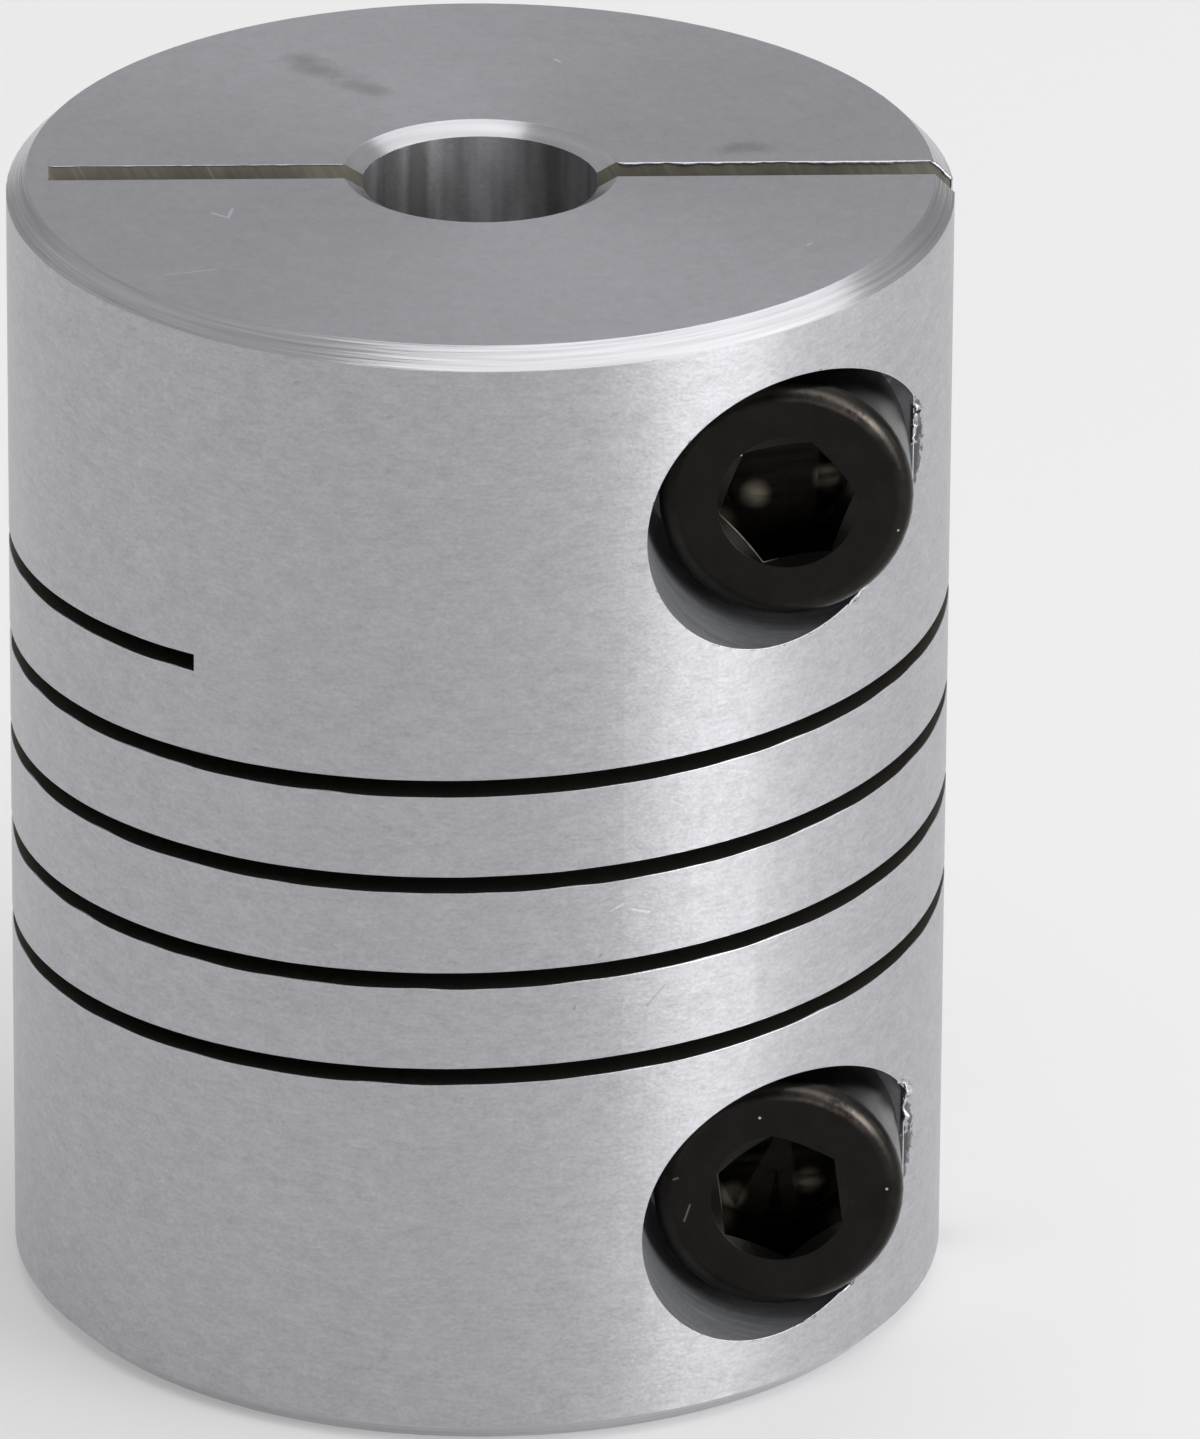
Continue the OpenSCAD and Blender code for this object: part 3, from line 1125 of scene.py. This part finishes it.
def add_camera():
    """The camera of the picture. It turns until the frame's centre is its axis, so that it needs no shift."""
    level = CAMERA_DISTANCE * np.cos(CAMERA_ELEVATION)
    eye = np.array(
        [
            level * np.sin(CAMERA_AZIMUTH),
            -level * np.cos(CAMERA_AZIMUTH),
            MID_Z + CAMERA_DISTANCE * np.sin(CAMERA_ELEVATION),
        ]
    )
    ahead = np.array([0, 0, MID_Z]) - eye
    ahead /= np.linalg.norm(ahead)
    right = np.cross(ahead, (0, 0, 1))
    right /= np.linalg.norm(right)
    up = np.cross(right, ahead)
    cosine, sine = np.cos(CAMERA_ROLL), np.sin(CAMERA_ROLL)
    right, up = right * cosine + up * sine, up * cosine - right * sine
    aim = ahead + right * ((PICTURE_W / 2 - PRINCIPAL_X) / FOCAL_PIXELS)
    aim -= up * ((PICTURE_H / 2 - PRINCIPAL_Y) / FOCAL_PIXELS)
    aim /= np.linalg.norm(aim)
    right -= aim * right.dot(aim)
    right /= np.linalg.norm(right)
    up = np.cross(right, aim)
    data = bpy.data.cameras.new("camera")
    data.sensor_fit = "AUTO"
    data.sensor_width = SENSOR
    data.lens = FOCAL_PIXELS / PICTURE_H * SENSOR
    data.clip_start = 10 * MM
    data.clip_end = 100
    holder = bpy.data.objects.new("camera", data)
    turn = Matrix((right, up, -aim)).transposed().to_4x4()
    holder.matrix_world = Matrix.Translation(Vector(eye) * MM) @ turn
    bpy.context.scene.collection.objects.link(holder)
    bpy.context.scene.camera = holder


def floor_material(colour):
    """Plain matt studio floor. The camera and reflections see it paler than the light that it throws back."""
    made = Finish("studio_floor")
    vector, _ = made.place()
    cloud = made.noise(vector, 0.02, 2.0)
    matt = made.node(
        "ShaderNodeBsdfPrincipled",
        None,
        {"Base Color": made.lit(colour, 1.0 + cloud * 0.01), "Roughness": 0.9},
    )
    white = made.node("ShaderNodeEmission", None, {"Color": (1.0, 1.0, 1.0), "Strength": 1.0})
    seen = made.largest(*(made.node("ShaderNodeLightPath", output=f"Is {ray} Ray") for ray in SEEN_RAYS))
    return made.close(made.mix(seen * FLOOR_WHITE, matt, white))


class COUPLING_OT_studio(bpy.types.Operator):
    """Set up the floor, the lamps, the room light and the camera"""

    bl_idname = "coupling.studio"
    bl_label = "Studio"

    def execute(self, context):
        studio = context.scene.coupling_studio
        corners = np.array([(-1, -1), (1, -1), (1, 1), (-1, 1)]) * FLOOR_REACH
        corners = np.column_stack([corners, np.full(len(corners), -FLOOR_GAP)])
        mesh = bpy.data.meshes.new("studio_floor")
        mesh.from_pydata((corners * MM).tolist(), [], [[0, 1, 2, 3]])
        mesh.materials.append(floor_material(studio.floor))
        floor = bpy.data.objects.new("studio_floor", mesh)
        context.scene.collection.objects.link(floor)

        for *placing, power in SOFTBOXES:
            add_lamp(*placing, getattr(studio, power))
        context.scene.world = room_light(studio)
        context.scene.view_settings.view_transform = "Standard"
        add_camera()
        return {"FINISHED"}


class COUPLING_PT_panel(bpy.types.Panel):
    """The coupling's finishes, edges and studio"""

    bl_idname = "COUPLING_PT_panel"
    bl_label = "Flexible coupling"
    bl_space_type = "VIEW_3D"
    bl_region_type = "UI"
    bl_category = "Coupling"

    def draw(self, context):
        for group_name in GROUPS:
            group = getattr(context.scene, group_name)
            box = self.layout.box()
            for name in group.bl_rna.properties.keys():
                if name not in ("rna_type", "name"):
                    box.prop(group, name)
        for operator in OPERATORS:
            self.layout.operator(operator.bl_idname)


GROUPS = {
    "coupling_finish": CouplingFinish,
    "coupling_edges": CouplingEdges,
    "coupling_threads": CouplingThreads,
    "coupling_studio": CouplingStudio,
}
OPERATORS = (
    COUPLING_OT_studio,
    COUPLING_OT_body,
    COUPLING_OT_screws,
    COUPLING_OT_socket_edges,
    COUPLING_OT_slot_edges,
    COUPLING_OT_rims,
    COUPLING_OT_burrs,
    COUPLING_OT_slit_edges,
    COUPLING_OT_screw_threads,
    COUPLING_OT_tapped_threads,
)


def register():
    for name, group in GROUPS.items():
        bpy.utils.register_class(group)
        setattr(bpy.types.Scene, name, PointerProperty(type=group))
    for operator in OPERATORS:
        bpy.utils.register_class(operator)
    bpy.utils.register_class(COUPLING_PT_panel)


def unregister():
    bpy.utils.unregister_class(COUPLING_PT_panel)
    for operator in reversed(OPERATORS):
        bpy.utils.unregister_class(operator)
    for name, group in reversed(GROUPS.items()):
        delattr(bpy.types.Scene, name)
        bpy.utils.unregister_class(group)


def main():
    """Dresses the coupling."""
    register()
    bpy.ops.coupling.studio()
    bpy.ops.coupling.body()
    bpy.ops.coupling.screws()
    bpy.ops.coupling.socket_edges()
    bpy.ops.coupling.slot_edges()
    bpy.ops.coupling.rims()
    bpy.ops.coupling.burrs()
    bpy.ops.coupling.slit_edges()
    bpy.ops.coupling.screw_threads()
    bpy.ops.coupling.tapped_threads()


if __name__ == "__main__":
    main()
